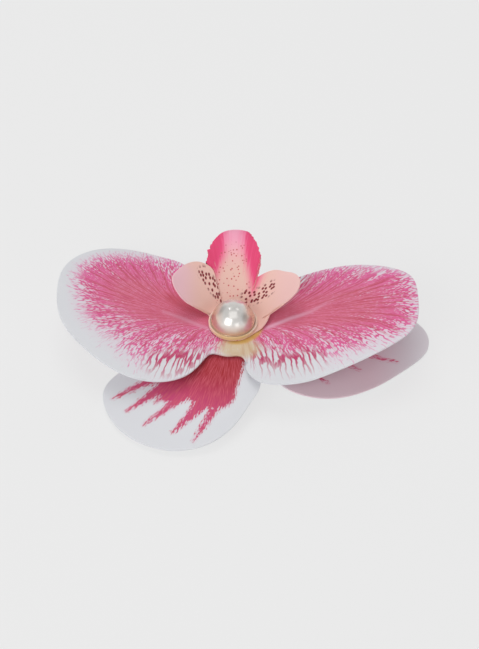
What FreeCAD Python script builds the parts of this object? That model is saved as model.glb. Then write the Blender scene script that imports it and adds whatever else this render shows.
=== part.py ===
"""Flower hair clip: a moth-orchid head of shaped fabric sheets with a half pearl at its centre,
held by a plastic hub on a felt pad that is glued to a small sprung alligator clip.

Frame: the origin is on the flat underside of the lower arm, straight below the pearl.
+X runs along the clip towards the jaw tips, +Y towards the flower's lip, +Z up through the pearl.
Units are millimetres.
"""
import FreeCAD, Part

import math
import os

import Sketcher

Vector = FreeCAD.Vector

doc = FreeCAD.newDocument("flower_hair_clip")

# ---------------------------------------------------------------- driving dimensions
SIZES = [
    # the sprung clip
    ("sheet_metal", 0.7, "thickness of both stamped arms"),
    ("pin_offset", 7.0, "hinge axis behind the flower's centre"),
    ("pin_radius", 0.8, "hinge pin shank"),
    ("pin_clearance", 0.05, "radial running clearance of the pin"),
    ("pin_end_play", 0.02, "gap between a riveted head and the ear beside it"),
    ("pin_head_overhang", 0.5, "riveted head beyond the shank, all round"),
    ("pin_head_height", 0.4, "height of each riveted head"),
    ("ear_headroom", 0.3, "gap between a round ear end and the other arm"),
    ("arm_width", 8.0, "width of the upper arm over its ears"),
    ("tip_width", 6.0, "width of both arms at the jaw"),
    ("ear_gap", 0.2, "side gap between an upper ear and a lower ear"),
    ("jaw_reach", 28.0, "jaw tip in front of the flower's centre"),
    ("bite_length", 8.0, "length of the toothed bite"),
    ("tooth_height", 0.8, "depth of a jaw tooth"),
    ("tooth_clearance", 0.05, "gap under the closed teeth"),
    ("tooth_row_inset", 0.5, "plain edge before and after the teeth"),
    ("bridge_front_margin", 2.0, "flat bridge beyond the felt pad, towards the jaw"),
    ("bridge_back_margin", 1.0, "flat bridge beyond the felt pad, towards the levers"),
    ("upper_lever", 24.0, "end of the thumb lever behind the flower's centre"),
    ("lever_lift", 2.8, "rise of the thumb lever at its end"),
    ("lower_lever", 20.0, "end of the lower arm behind the flower's centre"),
    ("waist_margin", 1.0, "narrow strip between the lower ears and the widening thumb end"),
    ("bend_radius", 0.6, "inside radius of each bend in the upper arm"),
    ("corner_radius", 1.8, "rounding of the arms' end corners"),
    # the torsion spring
    ("wire_radius", 0.35, "spring wire"),
    ("coil_clearance", 0.55, "gap between the hinge pin and the coil"),
    ("coil_headroom", 0.55, "gap between the coil and each arm"),
    ("coil_side_gap", 0.45, "gap between the coil and each lower ear"),
    ("coil_turns", 4.0, "full turns between the two legs"),
    ("leg_length", 8.0, "straight leg from the coil to the lever"),
    ("leg_clearance", 0.05, "gap between a leg and the arm it pushes"),
    # what lies between the clip and the flower
    ("glue_thickness", 0.3, "hot-melt glue under the felt"),
    ("glue_end_inset", 1.5, "felt beyond the glue bead at each end"),
    ("glue_side_inset", 0.5, "bridge beyond the glue bead at each side"),
    ("felt_radius", 10.0, "felt pad"),
    ("felt_thickness", 1.0, "felt pad"),
    ("washer_radius", 4.0, "hub washer"),
    ("washer_thickness", 0.8, "hub washer"),
    ("layer_gap", 0.05, "air between two neighbouring layers of the flower"),
    # the hub and the pearl
    ("peg_radius", 1.5, "hub peg"),
    ("peg_clearance", 0.1, "radial clearance of the peg in the layers"),
    ("hub_thickness", 0.6, "hub flange"),
    ("hub_rim", 0.35, "height of the raised rim round the pearl"),
    ("rim_width", 0.5, "width of the raised rim"),
    ("rim_clearance", 0.2, "gap between the pearl and the raised rim"),
    ("pearl_radius", 6.0, "flat-backed half pearl"),
    ("pearl_glue_inset", 1.4, "pearl beyond the dot of clear glue, all round"),
    ("pearl_glue_thickness", 0.2, "dot of clear glue under the pearl"),
    # the shaped fabric sheets
    ("flat_margin", 0.3, "flat middle of every flower layer beyond the hub"),
    ("sepal_thickness", 0.5, "sepal sheet"),
    ("petal_thickness", 0.5, "petal sheet"),
    ("lip_thickness", 0.4, "lip sheet"),
    ("petal_reach", 50.0, "right petal from the centre to its tip"),
    ("left_petal_rise", 5.0, "lift of the left petal's tip"),
    ("right_petal_rise", 9.0, "lift of the right petal's tip"),
    ("petal_droop", 2.0, "fall of a petal's long edges below its midline"),
    ("petal_neck_margin", 5.1, "round neck that joins the petals, beyond the flat middle"),
    ("sepal_reach", 54.0, "right sepal from the centre to its tip"),
    ("sepal_tip_height", 0.8, "middle of the sheet above the rest plane at a sepal's tip"),
    ("sepal_neck_margin", 2.0, "round middle of the sepal sheet beyond the flat middle"),
    ("lip_reach", 25.6, "mid lobe of the lip from the centre to its tip, in plan"),
    ("lip_slope", 1.05, "steepness of the lip's funnel"),
    ("lip_roll", 2.24, "how strongly the lip's tip rolls over"),
    ("lip_roll_start", 0.39, "start of the roll as a share of the lip's reach"),
    ("lip_foot_margin", 0.4, "round foot of the lip beyond the flat middle"),
]

sizes = doc.addObject("Spreadsheet::Sheet", "Sizes")
for row, (alias, number, meaning) in enumerate(SIZES, start=1):
    sizes.set(f"A{row}", alias)
    sizes.set(f"B{row}", str(number))
    sizes.set(f"C{row}", meaning)
    sizes.setAlias(f"B{row}", alias)
doc.recompute()


def size(alias):
    """The present value of one driving dimension."""
    return float(sizes.get(alias))


# ---------------------------------------------------------------- sizes that follow from them
COIL_RADIUS = "(Sizes.pin_radius + Sizes.coil_clearance + Sizes.wire_radius)"
JAW_SPACE = f"(2 * ({COIL_RADIUS} + Sizes.wire_radius + Sizes.coil_headroom))"
EAR_RADIUS = f"({JAW_SPACE} / 2 - Sizes.ear_headroom)"
PIN_X = "-Sizes.pin_offset"
PIN_Z = f"(Sizes.sheet_metal + {JAW_SPACE} / 2)"
HALF_ARM = "(Sizes.arm_width / 2)"
HALF_TIP = "(Sizes.tip_width / 2)"
LOWER_HALF_WIDTH = f"({HALF_ARM} - Sizes.sheet_metal - Sizes.ear_gap)"
HALF_COIL = f"({LOWER_HALF_WIDTH} - Sizes.sheet_metal - Sizes.coil_side_gap - Sizes.wire_radius)"
BRIDGE_FRONT = "(Sizes.felt_radius + Sizes.bridge_front_margin)"
BRIDGE_BACK = "(Sizes.felt_radius + Sizes.bridge_back_margin)"
BITE_BACK = "(Sizes.jaw_reach - Sizes.bite_length)"
BITE_UNDER = "(Sizes.sheet_metal + Sizes.tooth_clearance + Sizes.tooth_height)"
HUB_RADIUS = "(Sizes.pearl_radius + Sizes.rim_clearance + Sizes.rim_width)"
FLAT_RADIUS = f"({HUB_RADIUS} + Sizes.flat_margin)"
LAYER_HOLE = "(Sizes.peg_radius + Sizes.peg_clearance)"

# The stack, from the rest plane up.
BRIDGE_UNDER = f"(Sizes.sheet_metal + {JAW_SPACE})"
BRIDGE_TOP = f"({BRIDGE_UNDER} + Sizes.sheet_metal)"
FELT_UNDER = f"({BRIDGE_TOP} + Sizes.glue_thickness)"
WASHER_UNDER = f"({FELT_UNDER} + Sizes.felt_thickness)"
SEPAL_UNDER = f"({WASHER_UNDER} + Sizes.washer_thickness + Sizes.layer_gap)"
PETAL_UNDER = f"({SEPAL_UNDER} + Sizes.sepal_thickness + Sizes.layer_gap)"
LIP_UNDER = f"({PETAL_UNDER} + Sizes.petal_thickness + Sizes.layer_gap)"
HUB_UNDER = f"({LIP_UNDER} + Sizes.lip_thickness + Sizes.layer_gap)"
HUB_TOP = f"({HUB_UNDER} + Sizes.hub_thickness)"
PEARL_UNDER = f"({HUB_TOP} + Sizes.pearl_glue_thickness)"


def value(expression):
    """The number that an expression on the sheet gives now."""
    return float(sizes.evalExpression(expression))


# ---------------------------------------------------------------- helpers for bodies and sketches
def new_body(label):
    body = doc.addObject("PartDesign::Body", label)
    body.Label = label
    return body


def origin_feature(body, role):
    return next(feature for feature in body.Origin.OriginFeatures if feature.Role == role)


def new_sketch(body, name, role, offset=None):
    """A sketch on one of the body's origin planes, moved along the plane's normal by an expression."""
    sketch = body.newObject("Sketcher::SketchObject", name)
    sketch.AttachmentSupport = [(origin_feature(body, role), "")]
    sketch.MapMode = "FlatFace"
    if offset is not None:
        sketch.setExpression("AttachmentOffset.Base.z", offset)
    return sketch


def bind(sketch, kind, *where, to):
    """A dimension of the sketch that follows an expression."""
    index = sketch.addConstraint(Sketcher.Constraint(kind, *where, value(to)))
    sketch.setExpression(f"Constraints[{index}]", to)


def draw_loop(sketch, corners):
    """A closed outline of straight lines; each corner is a pair of expressions."""
    points = [Vector(value(across), value(up), 0) for across, up in corners]
    count = len(points)
    for index in range(count):
        sketch.addGeometry(Part.LineSegment(points[index], points[(index + 1) % count]))
    for index, (across, up) in enumerate(corners):
        sketch.addConstraint(Sketcher.Constraint("Coincident", index, 2, (index + 1) % count, 1))
        bind(sketch, "DistanceX", -1, 1, index, 1, to=across)
        bind(sketch, "DistanceY", -1, 1, index, 1, to=up)


def draw_circle(sketch, radius, across=None, up=None):
    """A circle on the sketch's origin, or at two expressions."""
    centre = Vector(value(across) if across else 0, value(up) if up else 0, 0)
    index = sketch.addGeometry(Part.Circle(centre, Vector(0, 0, 1), value(radius)))
    bind(sketch, "Radius", index, to=radius)
    if across is None:
        sketch.addConstraint(Sketcher.Constraint("Coincident", index, 3, -1, 1))
    else:
        bind(sketch, "DistanceX", -1, 1, index, 3, to=across)
        bind(sketch, "DistanceY", -1, 1, index, 3, to=up)


def pad(body, sketch, name, length, both_ways=False):
    feature = body.newObject("PartDesign::Pad", name)
    feature.Profile = sketch
    feature.setExpression("Length", length)
    if both_ways:
        feature.SideType = "Symmetric"
    doc.recompute()
    return feature


def cut_through(body, sketch, name):
    """A pocket through everything, both ways, which must take something away."""
    before = body.Shape.Volume
    feature = body.newObject("PartDesign::Pocket", name)
    feature.Profile = sketch
    feature.Type = "ThroughAll"
    feature.SideType = "Symmetric"
    doc.recompute()
    if not feature.Shape.Volume < before:
        raise ValueError(f"{name} cuts nothing")
    return feature


def mirror(body, feature, name, role="XZ_Plane"):
    copy = body.newObject("PartDesign::Mirrored", name)
    copy.Originals = [feature]
    copy.MirrorPlane = (origin_feature(body, role), [""])
    body.Tip = copy
    doc.recompute()
    return copy


def edge_names(shape, wanted):
    return [f"Edge{number}" for number, edge in enumerate(shape.Edges, start=1) if wanted(edge)]


def along(edge, direction):
    """True for a straight edge that runs along one of the axes."""
    if not isinstance(edge.Curve, Part.Line):
        return False
    return abs(edge.Curve.Direction.dot(direction)) > 0.999


def round_edges(body, name, radius, wanted):
    """A fillet on the edges of the body that a test picks."""
    base = body.Tip
    names = edge_names(base.Shape, wanted)
    if not names:
        raise ValueError(f"{name} finds no edge")
    feature = body.newObject("PartDesign::Fillet", name)
    feature.Base = (base, names)
    feature.setExpression("Radius", radius)
    doc.recompute()
    return feature


def end_corner(edge):
    """True for an upright edge at either end of an arm."""
    upright = along(edge, Vector(0, 0, 1)) or abs(edge.Vertexes[0].X - edge.Vertexes[-1].X) < 0.3
    middle = edge.BoundBox.Center
    flat_side = edge.BoundBox.YLength < 0.01
    end = middle.x > size("jaw_reach") - 0.5 or middle.x < -size("lower_lever") + 0.5
    return upright and flat_side and end and abs(middle.y) > size("tip_width") / 2 - 0.5


def add_hinge_ears(body, outside, root, upwards):
    """Two ears beside the spring, each a plate with a round end about the hinge pin."""
    sketch = new_sketch(body, "ear_outline", "XZ_Plane", f"{outside} - Sizes.sheet_metal")
    radius, pin_x, pin_z = value(EAR_RADIUS), value(PIN_X), value(PIN_Z)
    start, end = (0, math.pi) if upwards else (math.pi, 2 * math.pi)
    circle = Part.Circle(Vector(pin_x, pin_z, 0), Vector(0, 0, 1), radius)
    sketch.addGeometry(Part.ArcOfCircle(circle, start, end))
    side = 1 if upwards else -1
    first, last = Vector(pin_x + side * radius, pin_z, 0), Vector(pin_x - side * radius, pin_z, 0)
    root_z = value(root)
    sketch.addGeometry(Part.LineSegment(last, Vector(last.x, root_z, 0)))
    sketch.addGeometry(Part.LineSegment(Vector(last.x, root_z, 0), Vector(first.x, root_z, 0)))
    sketch.addGeometry(Part.LineSegment(Vector(first.x, root_z, 0), first))
    arc, falling, base, rising = range(4)
    sketch.addConstraint([
        Sketcher.Constraint("Tangent", arc, 2, falling, 1),
        Sketcher.Constraint("Coincident", falling, 2, base, 1),
        Sketcher.Constraint("Coincident", base, 2, rising, 1),
        Sketcher.Constraint("Tangent", rising, 2, arc, 1),
        Sketcher.Constraint("Horizontal", base),
        Sketcher.Constraint("Vertical", falling),
    ])
    bind(sketch, "Radius", arc, to=EAR_RADIUS)
    bind(sketch, "DistanceX", -1, 1, arc, 3, to=PIN_X)
    bind(sketch, "DistanceY", -1, 1, arc, 3, to=PIN_Z)
    bind(sketch, "DistanceY", -1, 1, base, 1, to=root)
    ear = pad(body, sketch, "ear", "Sizes.sheet_metal")
    mirror(body, ear, "second_ear")


def add_pin_bore(body):
    sketch = new_sketch(body, "pin_bore_outline", "XZ_Plane")
    draw_circle(sketch, "Sizes.pin_radius + Sizes.pin_clearance", PIN_X, PIN_Z)
    cut_through(body, sketch, "pin_bore")


# ---------------------------------------------------------------- lower arm
def make_lower_arm():
    """A straight strip that lies flat, with a thumb end, two ears and a tapered jaw."""
    body = new_body("lower_arm")
    jaw, thumb = "Sizes.jaw_reach", "-Sizes.lower_lever"
    waist = f"-(Sizes.pin_offset + {EAR_RADIUS} + Sizes.waist_margin)"
    widening = f"-(Sizes.pin_offset + {EAR_RADIUS} + 2 * Sizes.waist_margin)"
    one_side = [
        (jaw, HALF_TIP), (BRIDGE_FRONT, LOWER_HALF_WIDTH), (waist, LOWER_HALF_WIDTH),
        (widening, HALF_ARM), (thumb, HALF_ARM),
    ]
    other_side = [(across, f"-{up}") for across, up in reversed(one_side)]
    sketch = new_sketch(body, "strip_outline", "XY_Plane")
    draw_loop(sketch, one_side + other_side)
    pad(body, sketch, "strip", "Sizes.sheet_metal")
    add_hinge_ears(body, LOWER_HALF_WIDTH, "Sizes.sheet_metal / 2", upwards=True)
    add_pin_bore(body)
    round_edges(body, "end_corners", "Sizes.corner_radius", end_corner)


# ---------------------------------------------------------------- upper arm
def make_upper_arm():
    """A bent strip: thumb lever, flat bridge under the flower, slope, and a toothed jaw."""
    body = new_body("upper_arm")
    lever_under = f"({BRIDGE_UNDER} + Sizes.lever_lift)"
    underside = [
        ("Sizes.jaw_reach", BITE_UNDER), (BITE_BACK, BITE_UNDER), (BRIDGE_FRONT, BRIDGE_UNDER),
        (f"-{BRIDGE_BACK}", BRIDGE_UNDER), ("-Sizes.upper_lever", lever_under),
    ]
    topside = [(across, f"{up} + Sizes.sheet_metal") for across, up in reversed(underside)]
    profile = new_sketch(body, "strip_profile", "XZ_Plane")
    draw_loop(profile, underside + topside)
    pad(body, profile, "strip", "Sizes.arm_width", both_ways=True)

    taper = new_sketch(body, "jaw_taper_outline", "XY_Plane")
    past_tip, past_side = "(Sizes.jaw_reach + 1)", f"({HALF_ARM} + 1)"
    draw_loop(taper, [(BRIDGE_FRONT, HALF_ARM), (BITE_BACK, HALF_TIP), (past_tip, HALF_TIP),
                      (past_tip, past_side), (BRIDGE_FRONT, past_side)])
    cut = cut_through(body, taper, "jaw_taper")
    mirror(body, cut, "second_jaw_taper")

    add_hinge_ears(body, HALF_ARM, f"{BRIDGE_UNDER} + Sizes.sheet_metal / 2", upwards=False)
    add_pin_bore(body)
    add_teeth(body)
    bends = [value(across) for across, _ in underside[1:4]]

    def bend_edge(edge):
        middle = edge.BoundBox.Center
        at_bend = min(abs(middle.x - bend) for bend in bends) < 0.01
        return along(edge, Vector(0, 1, 0)) and at_bend and edge.Length > size("tip_width") / 2

    round_edges(body, "bends", "Sizes.bend_radius", bend_edge)


def add_teeth(body):
    """A zigzag strip along each side of the bite, pointing down at the lower arm."""
    teeth = 5
    start = f"({BITE_BACK} + Sizes.tooth_row_inset)"
    pitch = f"((Sizes.bite_length - 2 * Sizes.tooth_row_inset) / {teeth})"
    point = "(Sizes.sheet_metal + Sizes.tooth_clearance)"
    root = f"({BITE_UNDER} + Sizes.sheet_metal / 2)"
    zigzag = [(start, root), (start, BITE_UNDER)]
    for tooth in range(teeth):
        zigzag.append((f"{start} + {tooth + 0.5} * {pitch}", point))
        zigzag.append((f"{start} + {tooth + 1} * {pitch}", BITE_UNDER))
    zigzag.append((f"{start} + {teeth} * {pitch}", root))
    sketch = new_sketch(body, "tooth_outline", "XZ_Plane", f"{HALF_TIP} - Sizes.sheet_metal")
    draw_loop(sketch, zigzag)
    row_of_teeth = pad(body, sketch, "teeth", "Sizes.sheet_metal")
    mirror(body, row_of_teeth, "second_teeth")


# ---------------------------------------------------------------- hinge pin
def make_hinge_pin():
    """A plain shank through the four ears with a riveted head outside each outer ear."""
    body = new_body("hinge_pin")
    half_length = f"({HALF_ARM} + Sizes.pin_end_play)"
    shank = new_sketch(body, "shank_outline", "XZ_Plane")
    draw_circle(shank, "Sizes.pin_radius", PIN_X, PIN_Z)
    pad(body, shank, "shank", f"2 * {half_length}", both_ways=True)
    head = new_sketch(body, "head_outline", "XZ_Plane", half_length)
    draw_circle(head, "Sizes.pin_radius + Sizes.pin_head_overhang", PIN_X, PIN_Z)
    head_pad = pad(body, head, "head", "Sizes.pin_head_height")
    mirror(body, head_pad, "second_head")

    def outer_rim(edge):
        rim = isinstance(edge.Curve, Part.Circle) and edge.Curve.Radius > size("pin_radius") + 0.01
        return rim and abs(edge.BoundBox.Center.y) > value(half_length) + size("pin_head_height") - 0.01

    round_edges(body, "domed_heads", "Sizes.pin_head_height * 0.7", outer_rim)


# ---------------------------------------------------------------- torsion spring
def make_torsion_spring():
    """A coil round the hinge pin whose two straight legs push the levers apart."""
    radius, wire, half_width = value(COIL_RADIUS), size("wire_radius"), value(HALF_COIL)
    drop = size("coil_headroom") - size("leg_clearance")
    rise = math.atan(drop / (value(BRIDGE_BACK) - size("pin_offset")))
    fall = math.atan(drop / size("leg_length"))
    turning = 2 * math.pi * size("coil_turns") + math.pi - rise - fall
    start = -math.pi / 2 + fall
    helix = Part.makeHelix(2 * half_width * 2 * math.pi / turning, 2 * half_width, radius)
    helix.rotate(Vector(), Vector(0, 0, 1), math.degrees(start))
    helix.rotate(Vector(), Vector(1, 0, 0), 90)
    helix.translate(Vector(value(PIN_X), half_width, value(PIN_Z)))

    def on_coil(angle, y):
        return Vector(value(PIN_X) + radius * math.cos(angle), y, value(PIN_Z) + radius * math.sin(angle))

    first, last = on_coil(start, half_width), on_coil(start + turning, -half_width)
    first_way = Vector(math.sin(start), 0, -math.cos(start))
    last_way = Vector(-math.sin(start + turning), 0, math.cos(start + turning))
    section = Part.Wire(Part.makeCircle(wire, first, first_way))
    coil = Part.Wire(helix).makePipeShell([section], True, True)
    legs = [Part.makeCylinder(wire, size("leg_length"), first, first_way),
            Part.makeCylinder(wire, size("leg_length"), last, last_way)]
    spring = doc.addObject("Part::Feature", "torsion_spring")
    spring.Shape = coil.multiFuse(legs)


# ---------------------------------------------------------------- glue, felt, washer
def make_disc(label, radius, under, thickness, hole=None, softening=None):
    """A round layer on the hub's axis, with a peg hole or a softened rim where one is asked for."""
    body = new_body(label)
    outline = new_sketch(body, "outline", "XY_Plane")
    draw_circle(outline, radius)
    if hole:
        draw_circle(outline, hole)
    pad(body, outline, "plate", thickness)
    if softening:
        round_edges(body, "softened_rim", softening, lambda edge: isinstance(edge.Curve, Part.Circle))
    body.setExpression("Placement.Base.z", under)


def make_pad_glue():
    """A flattened bead of hot-melt glue along the bridge."""
    body = new_body("pad_glue")
    half_length = "(Sizes.felt_radius - Sizes.glue_end_inset)"
    half_width = f"({HALF_ARM} - Sizes.glue_side_inset)"
    outline = new_sketch(body, "outline", "XY_Plane")
    draw_loop(outline, [(half_length, half_width), (f"-{half_length}", half_width),
                        (f"-{half_length}", f"-{half_width}"), (half_length, f"-{half_width}")])
    pad(body, outline, "bead", "Sizes.glue_thickness")
    round_edges(body, "rounded_ends", f"{half_width} * 0.9", lambda edge: along(edge, Vector(0, 0, 1)))
    body.setExpression("Placement.Base.z", BRIDGE_TOP)


# ---------------------------------------------------------------- hub and pearl
def make_throat_hub():
    """A round flange with a raised rim, and a peg through every layer into the washer."""
    body = new_body("throat_hub")
    flange = new_sketch(body, "flange_outline", "XY_Plane")
    draw_circle(flange, HUB_RADIUS)
    pad(body, flange, "flange", "Sizes.hub_thickness")
    rim = new_sketch(body, "rim_outline", "XY_Plane", "Sizes.hub_thickness")
    draw_circle(rim, HUB_RADIUS)
    draw_circle(rim, f"{HUB_RADIUS} - Sizes.rim_width")
    pad(body, rim, "rim", "Sizes.hub_rim")
    peg = new_sketch(body, "peg_outline", "XY_Plane")
    draw_circle(peg, "Sizes.peg_radius")
    peg_pad = pad(body, peg, "peg", f"{HUB_UNDER} - {WASHER_UNDER}")
    peg_pad.Reversed = True
    doc.recompute()

    def rim_edge(edge):
        top = size("hub_thickness") + size("hub_rim")
        return isinstance(edge.Curve, Part.Circle) and abs(edge.BoundBox.Center.z - top) < 0.01

    round_edges(body, "rounded_rim", "Sizes.rim_width * 0.4", rim_edge)
    body.setExpression("Placement.Base.z", HUB_UNDER)


def make_half_pearl():
    """A half ball with a flat back."""
    body = new_body("half_pearl")
    sketch = new_sketch(body, "quarter_outline", "XZ_Plane")
    radius = size("pearl_radius")
    circle = Part.Circle(Vector(), Vector(0, 0, 1), radius)
    sketch.addGeometry(Part.ArcOfCircle(circle, 0, math.pi / 2))
    sketch.addGeometry(Part.LineSegment(Vector(0, radius, 0), Vector()))
    sketch.addGeometry(Part.LineSegment(Vector(), Vector(radius, 0, 0)))
    arc, axis, back = range(3)
    sketch.addConstraint([
        Sketcher.Constraint("Coincident", arc, 2, axis, 1),
        Sketcher.Constraint("Coincident", axis, 2, back, 1),
        Sketcher.Constraint("Coincident", back, 2, arc, 1),
        Sketcher.Constraint("Coincident", arc, 3, -1, 1),
        Sketcher.Constraint("Coincident", axis, 2, -1, 1),
        Sketcher.Constraint("Vertical", axis),
        Sketcher.Constraint("Horizontal", back),
    ])
    bind(sketch, "Radius", arc, to="Sizes.pearl_radius")
    turned = body.newObject("PartDesign::Revolution", "dome")
    turned.Profile = sketch
    turned.ReferenceAxis = (sketch, ["V_Axis"])
    turned.Angle = 360
    body.setExpression("Placement.Base.z", PEARL_UNDER)


# ---------------------------------------------------------------- shaped fabric sheets
def smooth_step(part):
    part = min(max(part, 0), 1)
    return part * part * (3 - 2 * part)


def petal_height(x, y):
    """The petals rise towards their tips and their long edges droop."""
    past = max(abs(x) - value(FLAT_RADIUS), 0)
    rise = size("left_petal_rise") if x < 0 else size("right_petal_rise")
    share = past / (size("petal_reach") - value(FLAT_RADIUS))
    lift = 1.15 * rise * share * share / (share + 0.15)
    away = y / (size("petal_reach") / 2)
    return lift - size("petal_droop") * away * away * smooth_step(2.7 * share)


def sepal_height(x, y):
    """The sepals fall from the hub and flatten out near the rest plane."""
    drop = value(SEPAL_UNDER) + size("sepal_thickness") / 2 - size("sepal_tip_height")
    span = 0.87 * (size("sepal_reach") - value(FLAT_RADIUS))
    share = min(max((math.hypot(x, y) - value(FLAT_RADIUS)) / span, 0), 1)
    return -drop * (0.5 * share + 0.5 * smooth_step(share))


def lip_height(x, y):
    """The lip is a funnel round the hub whose far edge rolls over."""
    past = max(math.hypot(x, y) - value(FLAT_RADIUS), 0)
    rolled = max(past - size("lip_roll_start") * size("lip_reach"), 0)
    roll = size("lip_roll") / size("lip_reach")
    return size("lip_slope") * past * past / (past + 1.5) - roll * rolled * rolled


def curved_slab(height, low, high, step, under, thickness):
    """A slab of even upright thickness whose underside follows a height function."""
    columns = round((high[0] - low[0]) / step) + 1
    rows = round((high[1] - low[1]) / step) + 1
    grid = [[Vector(low[0] + i * step, low[1] + j * step,
                    under + height(low[0] + i * step, low[1] + j * step))
             for j in range(rows)] for i in range(columns)]
    surface = Part.BSplineSurface()
    surface.interpolate(grid)
    return surface.toShape().extrude(Vector(0, 0, thickness))


def lobe_prism(points, scale, tall):
    """An upright prism over a closed smooth outline, given as shares of the lobe's scale."""
    curve = Part.BSplineCurve()
    curve.interpolate([Vector(x * scale, y * scale, -tall) for x, y in points], PeriodicFlag=True)
    return Part.Face(Part.Wire(curve.toShape())).extrude(Vector(0, 0, 2 * tall))


def make_sheet(label, height, under, thickness, neck_radius, lobes, scale, step):
    """One fabric sheet: every lobe and the round neck cut out of a curved slab, with a peg hole."""
    tall = 60
    cutter = Part.makeCylinder(neck_radius, 2 * tall, Vector(0, 0, -tall))
    cutter = cutter.multiFuse([lobe_prism(points, scale, tall) for points in lobes])
    cutter = cutter.cut(Part.makeCylinder(value(LAYER_HOLE), 2 * tall, Vector(0, 0, -tall)))
    bounds = cutter.BoundBox
    low = (step * math.floor(bounds.XMin / step - 1), step * math.floor(bounds.YMin / step - 1))
    high = (step * math.ceil(bounds.XMax / step + 1), step * math.ceil(bounds.YMax / step + 1))
    slab = curved_slab(height, low, high, step, value(under), thickness)
    feature = doc.addObject("Part::Feature", label)
    feature.Shape = slab.common(cutter)


# Outlines in plan, as shares of the sheet's reach, anticlockwise or clockwise round each lobe.
LEFT_PETAL = [
    (-0.04, -0.16), (-0.16, -0.274), (-0.25, -0.385), (-0.394, -0.428), (-0.57, -0.4),
    (-0.77, -0.266), (-0.915, -0.075), (-0.968, 0.2), (-0.915, 0.458), (-0.768, 0.6),
    (-0.574, 0.632), (-0.39, 0.572), (-0.22, 0.42), (-0.06, 0.18),
]
RIGHT_PETAL = [
    (0.05, -0.16), (0.07, -0.33), (0.138, -0.426), (0.262, -0.456), (0.48, -0.42),
    (0.8, -0.304), (0.955, -0.195), (1.0, 0.03), (0.97, 0.22), (0.872, 0.314),
    (0.58, 0.408), (0.4, 0.376), (0.22, 0.26), (0.07, 0.12),
]
LOWER_LEFT_SEPAL = [
    (-0.08, -0.06), (-0.33, -0.15), (-0.537, -0.213), (-0.639, -0.317), (-0.628, -0.45),
    (-0.485, -0.644), (-0.276, -0.722), (-0.126, -0.696), (0.004, -0.596), (0.09, -0.463),
    (0.14, -0.32), (0.09, -0.1),
]
RIGHT_SEPAL = [
    (0.09, -0.09), (0.13, -0.25), (0.24, -0.363), (0.41, -0.407), (0.635, -0.344),
    (0.885, -0.146), (1.0, 0.006), (0.99, 0.12), (0.85, 0.26), (0.61, 0.35),
    (0.37, 0.33), (0.17, 0.19), (0.08, 0.08),
]
BACK_SEPAL = [
    (0.02, 0.09), (0.0, 0.3), (-0.06, 0.47), (-0.17, 0.55), (-0.3, 0.565),
    (-0.43, 0.53), (-0.51, 0.44), (-0.48, 0.32), (-0.34, 0.21), (-0.21, 0.135), (-0.08, 0.06),
]
LIP_MID_LOBE = [
    (-0.2, 0.12), (-0.25, 0.37), (-0.285, 0.586), (-0.246, 0.762), (-0.137, 0.906),
    (0.02, 1.0), (0.145, 0.985), (0.23, 0.82), (0.289, 0.625), (0.254, 0.47), (0.215, 0.12),
]
LIP_RIGHT_LOBE = [
    (0.14, 0.24), (0.3, 0.477), (0.46, 0.47), (0.625, 0.367), (0.703, 0.215),
    (0.62, 0.09), (0.45, 0.065), (0.32, -0.055), (0.15, -0.16), (0.05, 0.05),
]
LIP_LEFT_LOBE = [
    (-0.14, 0.3), (-0.215, 0.53), (-0.332, 0.575), (-0.48, 0.515), (-0.625, 0.336),
    (-0.615, 0.22), (-0.5, 0.135), (-0.35, 0.14), (-0.2, 0.1), (-0.08, 0.12),
]


def make_flower_sheets():
    make_sheet("sepal_sheet", sepal_height, SEPAL_UNDER, size("sepal_thickness"),
               value(FLAT_RADIUS) + size("sepal_neck_margin"),
               [LOWER_LEFT_SEPAL, RIGHT_SEPAL, BACK_SEPAL], size("sepal_reach"), step=3.5)
    make_sheet("petal_sheet", petal_height, PETAL_UNDER, size("petal_thickness"),
               value(FLAT_RADIUS) + size("petal_neck_margin"),
               [LEFT_PETAL, RIGHT_PETAL], size("petal_reach"), step=3.5)
    make_sheet("lip", lip_height, LIP_UNDER, size("lip_thickness"),
               value(FLAT_RADIUS) + size("lip_foot_margin"),
               [LIP_MID_LOBE, LIP_RIGHT_LOBE, LIP_LEFT_LOBE], size("lip_reach"), step=1.75)


# ---------------------------------------------------------------- build, check and write
make_lower_arm()
make_upper_arm()
make_hinge_pin()
make_torsion_spring()
make_pad_glue()
make_disc("felt_pad", "Sizes.felt_radius", FELT_UNDER, "Sizes.felt_thickness",
          softening="Sizes.felt_thickness * 0.2")
make_disc("hub_washer", "Sizes.washer_radius", WASHER_UNDER, "Sizes.washer_thickness", hole=LAYER_HOLE)
make_disc("pearl_glue", "Sizes.pearl_radius - Sizes.pearl_glue_inset", HUB_TOP, "Sizes.pearl_glue_thickness")
make_throat_hub()
make_half_pearl()
make_flower_sheets()
doc.recompute()

for item in doc.Objects:
    if "Invalid" in item.State or "Error" in item.State:
        raise ValueError(f"{item.Label} failed: {item.State}")

sub_parts = [item for item in doc.Objects
             if item.TypeId in ("PartDesign::Body", "Part::Feature")]
for item in sub_parts:
    if item.Shape.isNull() or not item.Shape.isValid() or not item.Shape.Solids:
        raise ValueError(f"{item.Label} has no valid solid")

os.makedirs("parts", exist_ok=True)
for item in sub_parts:
    item.Shape.exportStep(f"parts/{item.Label}.step")
    box = item.Shape.BoundBox
    print(f"{item.Label}: {len(item.Shape.Solids)} solid(s), {item.Shape.Volume:.1f} mm3, "
          f"x {box.XMin:.2f}..{box.XMax:.2f}, y {box.YMin:.2f}..{box.YMax:.2f}, "
          f"z {box.ZMin:.2f}..{box.ZMax:.2f}")
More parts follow.
